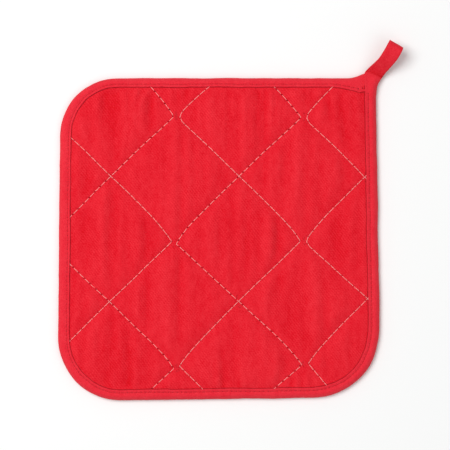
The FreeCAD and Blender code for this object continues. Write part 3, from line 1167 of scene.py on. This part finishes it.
    def rest(self, bm: Mesh) -> None:
        """Press the under side's puffs flat where they meet what the pad lies on.

        Args:
            bm: The under side's mesh, which is changed.
        """
        room, softness = self.room.middle - (self.ply / 2 + 0.04) * MM, 0.12
        for vert in bm.verts:
            over = math.log1p(math.exp((room - vert.co.z) / (softness * MM)))
            vert.co.z = room - over * softness * MM

    def sag(self, spot: Vector) -> float:
        """Give how far the layers hang down towards the table near the pad's edge, in metres."""
        return self.tape.sag(self.outline.inset_of(spot.x, spot.y))

    def map_seams(self, bm: Mesh, flat: list[tuple[float, float]]) -> None:
        """Write each corner's place along and beside its nearest seam, for the needle's holes, and how dark
        the painted shade in its seam's holes is.

        Args:
            bm: The cover's mesh, which is changed.
            flat: Where each corner lay before the cloth was blown up.
        """
        layer = bm.loops.layers.uv.new("Seam")
        gap = bm.verts.layers.float.new("HoleShade")
        places = []
        for vert, (x, y) in zip(bm.verts, flat):
            seam, aside = self.nearest_seam(x, y)
            places.append((seam.travel_at(y) / seam.pitch, held_between(aside / 10, -1.0, 1.0)))
            # how dark the painted shade in this seam's holes is
            vert[gap] = seam.line.hole
        for face in bm.faces:
            beside = min(abs(places[vert.index][1]) for vert in face.verts) > 0.12
            for loop in face.loops:
                loop[layer].uv = (0.5, 1.0) if beside else places[loop.vert.index]

    def build(self) -> list[Piece]:
        """Make the covers and the wadding.

        Returns:
            The four pieces.
        """
        bm = self.lay_out()
        bm.verts.index_update()
        bm.verts.ensure_lookup_table()
        flat = [(vert.co.x / MM, vert.co.y / MM) for vert in bm.verts]
        for vert, (x, y) in zip(bm.verts, flat):
            vert.co.z = self.puff(x, y) * MM
        self.simulate(bm)
        self.settle(bm)
        pucker = bm.verts.layers.float.new("Pucker")
        beside = bm.verts.layers.float.new("Beside")
        for vert, (x, y) in zip(bm.verts, flat):
            waves, folds = self.ripple(x, y)
            # the lift that the painted light and shade on the cover follow
            vert[pucker] = waves + self.shade * folds
            vert[beside] = self.tape.beside(x, y)
            vert.co.z = max(vert.co.z + (waves + folds) * MM, self.thinnest * MM)
        self.map_seams(bm, flat)
        pieces = []
        for side in Side:
            pieces += [self.cover(bm.copy(), side), self.filling(bm.copy(), side)]
        bm.free()
        return pieces

    def cover(self, bm: Mesh, side: Side) -> Piece:
        """Finish one cover.

        Args:
            bm: Its mesh, which is used up.
            side: The face of the pad that it lies on.

        Returns:
            The cover.
        """
        if side is Side.BACK:
            self.rest(bm)
            bmesh.ops.reverse_faces(bm, faces=bm.faces)
        for vert in bm.verts:
            vert.co.z = self.room.middle + side.sign * vert.co.z - self.sag(vert.co)
        piece = finished(f"quilted_{side.face}", bm, self.twill, outward=False)
        smooth = piece.modifiers.new("smooth", "SUBSURF")
        smooth.levels = smooth.render_levels = 1
        smooth.uv_smooth = "NONE"
        thicken(piece, self.ply)
        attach(piece, "pad")
        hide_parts(f"{side.face}_cover")
        return piece

    def filling(self, bm: Mesh, side: Side) -> Piece:
        """Fill the space between a cover and the mid-plane with wadding.

        Args:
            bm: The cover's mesh, which is used up.
            side: The face of the pad that the cover lies on.

        Returns:
            The wadding.
        """
        if side is Side.BACK:
            self.rest(bm)
        for vert in bm.verts:
            vert.co.z = side.sign * (vert.co.z - (self.ply / 2 + self.clearance) * MM)
        grown = bmesh.ops.extrude_face_region(bm, geom=bm.faces[:])["geom"]
        for vert in (part for part in grown if isinstance(part, bmesh.types.BMVert)):
            vert.co.z = side.sign * self.parting * MM
        for vert in bm.verts:
            vert.co.z += self.room.middle - self.sag(vert.co)
        piece = finished(f"wadding_{side.face}", bm, self.wadding)
        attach(piece, "pad")
        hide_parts(f"{side.layer}_wadding")
        return piece


@dataclass(frozen=True)
class TapeSection:
    """The tape's place at one length: its fold, its lips, its upper side, and how far it wraps the pad."""

    fold: Vector
    lips: Vector
    up: Vector
    wrap: float

    @property
    def inward(self) -> Vector:
        """Give the direction from the fold to the lips."""
        return (self.lips - self.fold).normalized()


@dataclass(eq=False)
class EdgeTape:
    """The folded tape: round the pad's edge, then off the square corner as the hanging loop.

    Lengths are in millimetres. The tape's face is wider on the left and right sides, at the bottom and by the
    square corner. Where the tape's start is tucked in, the lips curl in over the pad and up.
    """

    room: Room
    outline: Outline
    finish: Material
    joint: Vector
    ply: float = 0.55
    cloth: float = 26.0  # its whole width
    face: float = 6.1  # its width on the pad's face, and what is added to it
    sides: float = 0.95
    bottom: float = 0.5
    corner: float = 2.6
    flare: float = 3.8  # how far its fold stands out at the square corner
    begin: float = 4.0
    tuck: float = 10.4
    curl: tuple[float, float] = (0.9, 0.7)
    hem: float = 1.6  # between the stitches and the lips
    tightness: float = 0.12
    pitch: float = 2.8
    droop: float = 1.1
    ending: float = 16.0  # before the corner, where the loop's rows take over
    span: float = 4.4  # the length of tape from one of the loop's rows to the next
    root: float = 3.0  # how far the bound edge's piece runs on into the loop's rows
    bend: tuple[float, float, float] = (1.47, 2.02, 0.0)  # from the joint to where the tape stops bending
    cell: float = 0.9
    cells_across: int = 24
    width_wander: Wander = Wander(0.25, 23.0, 3.0)
    fold_wanders: tuple[Wander, Wander] = (Wander(0.18, 17.0, 1.0), Wander(0.06, 4.3, 2.0))
    lip_wander: Wander = Wander(0.14, 6.0, 8.0)
    lift_wander: Wander = Wander(0.12, 7.0, 11.0)
    pull_wander: Wander = Wander(0.1, 5.0, 6.0)
    leave: float = field(init=False)
    rows: list[list[float]] = field(init=False)
    loop_length: float = field(init=False)
    crease: float = field(init=False)

    loop_rows = (
        # fold x, fold y, lips x, lips y, height, wrap
        (99.0, 91.0, 91.8, 90.5, 3.3, 1.0),
        (99.3, 95.6, 91.6, 96.0, 3.6, 1.0),
        (100.8, 98.2, 90.7, 102.2, 3.8, 0.85),
        (102.5, 100.9, 91.8, 105.0, 3.2, 0.25),
        (105.4, 104.6, 95.7, 108.4, 5.4, 0.0),
        (108.9, 108.4, 99.2, 111.5, 9.4, 0.0),
        (111.9, 112.1, 102.2, 115.2, 12.4, 0.0),
        (114.0, 116.0, 104.7, 119.9, 13.6, 0.0),
        (115.1, 118.6, 106.4, 123.7, 12.6, 0.0),
        (115.1, 118.6, 106.4, 123.7, 9.0, 0.0),
        (113.2, 115.4, 104.3, 119.4, 6.4, 0.0),
        (110.9, 111.4, 101.6, 114.8, 4.6, 0.0),
        (107.9, 107.6, 98.7, 111.0, 3.3, 0.0),
        (104.4, 104.0, 95.3, 107.2, 2.6, 0.0),
        (101.0, 100.4, 92.5, 103.2, 2.4, 0.0),
        (97.6, 97.0, 90.6, 98.6, 2.6, 0.0),
    )

    def __post_init__(self) -> None:
        """Join the loop's rows to the bound edge, and find the crease at the loop's root."""
        self.leave = self.outline.length / MM - self.ending
        bound = [self.row_at(self.leave), self.row_at(self.leave + 4.0)]
        self.rows = bound + [list(row) for row in self.loop_rows]
        self.loop_length = self.span * (len(self.rows) - 1)
        self.crease = self.leave + self.span * 5

    def width(self, travel: float) -> float:
        """Measure the tape on the pad's face.

        Args:
            travel: The length from the tape's start.

        Returns:
            Its width there.
        """
        inward = self.outline.inward(travel * MM)
        width = self.face + self.sides * inward.x**2 - 0.05 * inward.x + self.bottom * inward.y
        return width + self.corner * (1 - ease(travel, 9.0, 28.0)) + self.width_wander.at(travel)

    def bound(self, travel: float) -> TapeSection:
        """Wrap the tape round the pad's edge.

        Args:
            travel: The length from the tape's start.

        Returns:
            The tape's place there.
        """
        edge, inward = self.outline.edge(travel * MM), self.outline.inward(travel * MM)
        out = self.flare * (1 - ease(travel, 3.0, 17.0)) + sum(each.at(travel) for each in self.fold_wanders)
        depth = self.width(travel) + self.curl[0] * bell(travel - self.tuck, 1.5) + self.lip_wander.at(travel)
        return TapeSection(edge - inward * out * MM, edge + inward * depth * MM, UP, 1.0)

    def row_at(self, travel: float) -> list[float]:
        """Give a bound section as a row of the loop's route."""
        section = self.bound(travel)
        return [*section.fold.xy / MM, *section.lips.xy / MM, self.room.middle / MM, 1.0]

    @property
    def length(self) -> float:
        """Give the tape's whole length."""
        return self.leave + self.loop_length

    @lru_cache(maxsize=None)
    def section(self, travel: float) -> TapeSection:
        """Find the tape's place, on the pad's edge or on the loop.

        Args:
            travel: The length from the tape's start.

        Returns:
            The tape's place there.
        """
        if travel <= self.leave:
            return self.bound(travel)
        share = (travel - self.leave) / self.loop_length
        fold_x, fold_y, lips_x, lips_y, height, wrap = smooth_row(self.rows, share)
        fold, lips = Vector((fold_x, fold_y, height)) * MM, Vector((lips_x, lips_y, height)) * MM
        before, after = smooth_row(self.rows, share - 0.004), smooth_row(self.rows, share + 0.004)
        level = [(after[at] + after[at + 2] - before[at] - before[at + 2]) / 2 for at in (0, 1)]
        ahead = Vector((*level, after[4] - before[4]))
        return TapeSection(fold, lips, ahead.cross(lips - fold).normalized(), wrap)

    def leg(self, travel: float, share: float) -> Vector:
        """Shape one of the tape's two legs, which part from each other at the fold.

        Args:
            travel: The length from the tape's start.
            share: How far from the fold to the lips, from 0 to 1.

        Returns:
            The depth from the fold and the height over the tape's middle, in metres.
        """
        section = self.section(travel)
        width = (section.lips - section.fold).length / MM
        sewn = width - self.hem + 0.4 * section.inward.x
        tight = self.tightness * math.cos(2 * math.pi * travel / self.pitch) + self.pull_wander.at(travel)
        lip = self.lift_wander.at(travel) + self.curl[1] * bell(travel - self.tuck, 1.5)
        middle, edge = width * 0.55, (0.3, 0.0)
        lips = ((middle, 2.2), (sewn, 1.8 - tight), (width - 0.7, 2.35 + lip), (width, 2.25 + lip))
        depth, height = smooth_row((edge, (0.3, 0.8), (1.0, 1.6), (2.4, 2.15), *lips), share)
        lips = ((middle, 0.3), (sewn, 0.27), (width - 0.7, 0.3), (width - 0.2, 0.27))
        loose = smooth_row((edge, (0.3, 0.16), (0.8, 0.28), (2.6, 0.3), *lips), share)
        low = 1 - 0.28 * (1 - ease(travel, 7.0, 14.0))
        height = height * low * section.wrap + loose[1] * (1 - section.wrap)
        depth = depth * section.wrap + loose[0] * (1 - section.wrap)
        pressed = min(0.7 * bell(travel - self.crease, 1.1), height * 0.8)
        return Vector((depth, height - pressed)) * MM

    def tone(self, travel: float) -> float:
        """Give how much painted shade the tape gets at a length: most in the crease at the loop's root, and
        less along the loop past it.
        """
        past = travel - self.crease
        return 0.9 * bell(past, 0.9) if past < 0 else 0.2 + 0.7 * math.exp(-past / 5.0)

    @cached_property
    def lips(self) -> list[tuple[Vector, Vector]]:
        """List points of the tape's open edge and the level direction into the pad at each."""
        sections = [self.section(float(at)) for at in range(int(self.begin), int(self.leave) + 14)]
        return [(section.lips.xy / MM, (section.lips - section.fold).xy.normalized()) for section in sections]

    def beside(self, x: float, y: float) -> float:
        """Measure how far a point of the pad lies inside the tape's open edge.

        Args:
            x: The point's place across.
            y: The point's place along.

        Returns:
            The distance, or a large one for any point well inside.
        """
        spot, far = Vector((x, y)), 9.0
        if self.outline.inset_of(x * MM, y * MM) > 14 * MM:
            return far
        lip, inward = min(self.lips, key=lambda pair: (spot - pair[0]).length_squared)
        return (spot - lip).dot(inward)

    def place(self, travel: float, across: float, lift: float = 0.0) -> Vector:
        """Find a point of the tape.

        Args:
            travel: The length from the tape's start.
            across: 0 at the front lip, a half at the fold, 1 at the back lip.
            lift: How far out of the tape's middle the point lies, in metres.

        Returns:
            The point.
        """
        section = self.section(travel)
        depth, height = self.leg(travel, abs(2 * across - 1))
        level = (height + lift) * (1 if across < 0.5 else -1) - self.sag(depth) * section.wrap
        return section.fold + section.inward * depth + section.up * level

    def sag(self, depth: float) -> float:
        """Give how far the pad's edge hangs down at a depth inside it, both in metres."""
        return self.droop * MM * (1 - ease(depth, 0.0, 2.9 * MM))

    def strip(self, start: float, end: float, name: str) -> Piece:
        """Make one length of the tape.

        Args:
            start: Where it starts.
            end: Where it ends.
            name: The piece's name.

        Returns:
            The piece.
        """

        def place(along: float, across: float) -> Vector:
            """Give the point for a share along and a share across."""
            return self.place(start + (end - start) * along, across)

        faces = (round((end - start) / self.cell), self.cells_across)
        bm = ribbon(faces, ((end - start) * MM, self.cloth * MM), place, start * MM)
        for edge in bm.edges:
            edge.smooth = not edge.is_boundary
        painted_shade, sewn = bm.verts.layers.float.new("LoopShade"), bm.verts.layers.float.new("Sewn")
        layer = bm.loops.layers.uv["Flat"]
        for vert in bm.verts:
            travel = vert.link_loops[0][layer].uv.x / MM
            # how much painted shade the tape gets here
            vert[painted_shade] = self.tone(travel)
            vert[sewn] = 1 - ease(travel, self.leave + 8.0, self.leave + 10.0)
        piece = finished(name, bm, self.finish)
        thicken(piece, self.ply)
        return piece

    def build(self) -> list[Piece]:
        """Make the bound edge and the loop.

        Returns:
            The two pieces.
        """
        edge = self.strip(self.begin, self.leave + self.root, "bound_edge")
        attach(edge, "pad")
        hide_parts("edge_binding")
        loop = self.strip(self.leave + self.root, self.length, "tape_loop")
        reach = Vector(self.bend) * MM
        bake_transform(loop)
        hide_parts("hanging_loop", "loop_anchor")
        return [edge, loop]


@dataclass
class Stitching:
    """The quilting threads and the row that holds the tape, on both faces, in millimetres."""

    room: Room
    outline: Outline
    tape: EdgeTape
    quilting: Material
    red: Material
    thickness: float = 0.36
    red_thickness: float = 0.4
    surface: float = 1.65  # the cover's height along the seams
    proud: float = 0.14
    dip: float = 0.75
    taped: float = 5.0  # how far inside the pad's edge the quilting ends
    red_proud: float = 0.06
    red_dip: float = 0.5
    red_gap: float = 0.7
    red_ends: tuple[float, float] = (8.0, 9.0)  # past the tape's start, and past where the loop's rows start
    row: float = 0.357  # the red row's share of the tape's width, from its fold
    step: float = 0.4

    def crossings(self, seam: Seam) -> list[Vector]:
        """Find where other seams cross one.

        Args:
            seam: The seam.

        Returns:
            The points.
        """
        levels = [100 - 0.5 * step for step in range(401)]
        found = []
        for other in SEAMS:
            sides = [seam.x_at(level) > other.x_at(level) for level in levels]
            crossed = [level for level, before, after in zip(levels, sides, sides[1:]) if before != after]
            found += [Vector((seam.x_at(level), level)) for level in crossed]
        return found

    def runs(self, seam: Seam) -> list[list[float]]:
        """List the lengths along a seam where it shows inside the tape.

        Args:
            seam: The seam.

        Returns:
            The lengths of each run.
        """
        found: list[list[float]] = [[]]
        for at in range(int(seam.travels[-1] / self.step)):
            travel = at * self.step
            level = seam.level_at(travel)
            if self.outline.inset_of(seam.x_at(level) * MM, level * MM) > self.taped * MM:
                found[-1].append(travel)
            elif found[-1]:
                found.append([])
        return [run for run in found if len(run) > 5]

    def sink(self, travel: float, pitch: float, gap: float) -> float:
        """Give the share that a lockstitch dips at a length: 1 at each hole, and 0 between."""
        away = abs((travel / pitch + 0.5) % 1 - 0.5) * pitch
        return 1 - ease(away, gap * 0.15, gap * 0.5 + 0.3)

    def seam_thread(self, seam: Seam, side: Side) -> Piece:
        """Sew one seam's thread on one face.

        Args:
            seam: The seam.
            side: The face.

        Returns:
            The thread.
        """
        crossings = self.crossings(seam)
        cords = []
        for run in self.runs(seam):
            points = []
            for travel in run:
                level = seam.level_at(travel)
                spot = Vector((seam.x_at(level), level))
                over = sum(seam.lift * bell((spot - crossing).length, 1.3) for crossing in crossings)
                dip = self.dip * self.sink(travel, seam.pitch, seam.line.gap)
                height = side.sign * (self.surface + self.proud + over - dip)
                points.append(Vector((*spot, self.room.middle / MM + height)) * MM)
            cords.append(cord_along(points, self.thickness * MM))
        piece = finished(f"{side.thread}_stitches_{seam.name}", join(cords), self.quilting)
        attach(piece, "pad")
        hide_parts(f"{side.thread}_thread_{seam.name}")
        return piece

    def tape_thread(self, side: Side) -> Piece:
        """Sew the row that holds the tape, on one face.

        Args:
            side: The face.

        Returns:
            The thread.
        """
        start, end = self.tape.begin + self.red_ends[0], self.tape.leave + self.red_ends[1]
        points = []
        for at in range(int((end - start) / self.step)):
            travel = start + at * self.step
            dip = self.red_dip * self.sink(travel, self.tape.pitch, self.red_gap)
            lift = self.tape.ply / 2 + self.red_proud - dip
            points.append(self.tape.place(travel, 0.5 - side.sign * self.row, lift * MM))
        thread = cord_along(points, self.red_thickness * MM, 5)
        piece = finished(f"tape_{side.thread}_stitches", thread, self.red)
        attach(piece, "pad")
        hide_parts(f"binding_{side.thread}_thread")
        return piece

    def build(self) -> list[Piece]:
        """Sew every row.

        Returns:
            The threads.
        """
        threads = [self.seam_thread(seam, side) for side in Side for seam in SEAMS]
        return threads + [self.tape_thread(side) for side in Side]


@dataclass
class Studio:
    """A pale table under soft light from the upper left, seen from straight above."""

    width: float = 0.2823  # of the view, in metres
    centre: tuple[float, float] = (0.00407, 0.0085)
    distance: float = 1.5
    lit: Rgba = (0.86, 0.86, 0.855, 1.0)  # what the table throws back on the pad
    seen: Rgba = (0.935, 0.94, 0.935, 1.0)  # what the camera sees of it
    white: Rgba = (1.0, 1.0, 1.0, 1.0)

    def camera(self) -> None:
        """Hang the camera over the table."""
        data = bpy.data.cameras.new("camera")
        data.sensor_width = 36.0
        data.lens = data.sensor_width * self.distance / self.width
        data.clip_end = 20.0
        camera = placed("camera", data)
        camera.location = (*self.centre, self.distance)
        bpy.context.scene.camera = camera

    def lamp(self, name: str, place: tuple[float, float, float], size: float, power: float) -> None:
        """Hang one soft square lamp that faces the pad.

        Args:
            name: The lamp's name.
            place: Where it hangs.
            size: The length of its side.
            power: Its power in watts.
        """
        data = bpy.data.lights.new(name, "AREA")
        data.size = size
        data.energy = power
        lamp = placed(name, data)
        lamp.location = place
        lamp.rotation_euler = (-Vector(place)).to_track_quat("-Z", "Y").to_euler()

    def table(self) -> None:
        """Lay the table, whose white shows full and still takes the pad's shadow."""
        bm = bmesh.new()
        bmesh.ops.create_grid(bm, x_segments=1, y_segments=1, size=3.0)
        material = bpy.data.materials.new("white_table")
        g = Graph.cleared(material)
        seen = g.add("LightPath").outputs["Is Camera Ray"]
        paper = g.add("BsdfDiffuse", Color=g.mix(seen, self.lit, self.seen))
        away = g.add("VectorMath", {"operation": "LENGTH"}, in0=g.place()).outputs["Value"]
        far = g.times(g.remap(away, 0.25, 0.9, 0.0, 1.0), seen)
        white = g.add("Emission", Color=self.white, Strength=0.96)
        both = g.add("MixShader", in0=far, in1=paper.outputs[0], in2=white.outputs[0])
        g.add("OutputMaterial", Surface=both.outputs[0])
        finished("table", bm, material)

    def room(self) -> None:
        """Fill the room with soft light, and show it white."""
        world = bpy.data.worlds.new("room")
        g = Graph.cleared(world)
        strength = g.remap(g.add("LightPath").outputs["Is Camera Ray"], 0.0, 1.0, 0.4, 1.0)
        sky = g.add("Background", Color=self.white, Strength=strength)
        g.add("OutputWorld", Surface=sky.outputs[0])
        bpy.context.scene.world = world

    def build(self) -> None:
        """Set up the camera, the light and the table."""
        self.camera()
        self.room()
        self.lamp("window", (-0.71, 0.41, 1.5), size=1.0, power=20.6)
        self.lamp("fill", (0.7, -0.6, 1.4), size=1.2, power=4.2)
        self.table()
        bpy.context.scene.view_settings.view_transform = "Standard"


def main() -> None:
    """Build the pot holder and the studio round it."""
    logging.basicConfig(level=logging.INFO, format="%(name)s: %(message)s")
    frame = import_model()
    room = Room.measured()
    outline = Outline(room)
    effects = Effects()
    Studio().build()
    twill = TwillFinish("red_twill", (224, 26, 42), effects).material()
    tape_finish = TapeFinish("red_tape", (229, 39, 55), effects).material()
    wadding = WaddingFinish("cotton_wadding", (232, 226, 212), effects).material()
    quilting = ThreadFinish("quilting_thread", (248, 160, 158), effects).material()
    red = ThreadFinish("red_thread", (212, 24, 40), effects).material()
    tape = EdgeTape(room, outline, tape_finish, Vector(frame["joints"][0]["pos_m"]))
    quilt = QuiltedLayers(room, outline, tape, twill, wadding)
    for assembly in (quilt, tape, Stitching(room, outline, tape, quilting, red)):
        for piece in assembly.build():
            LOG.info("%s: %d faces", piece.name, len(piece.data.polygons))


if __name__ == "__main__":
    main()
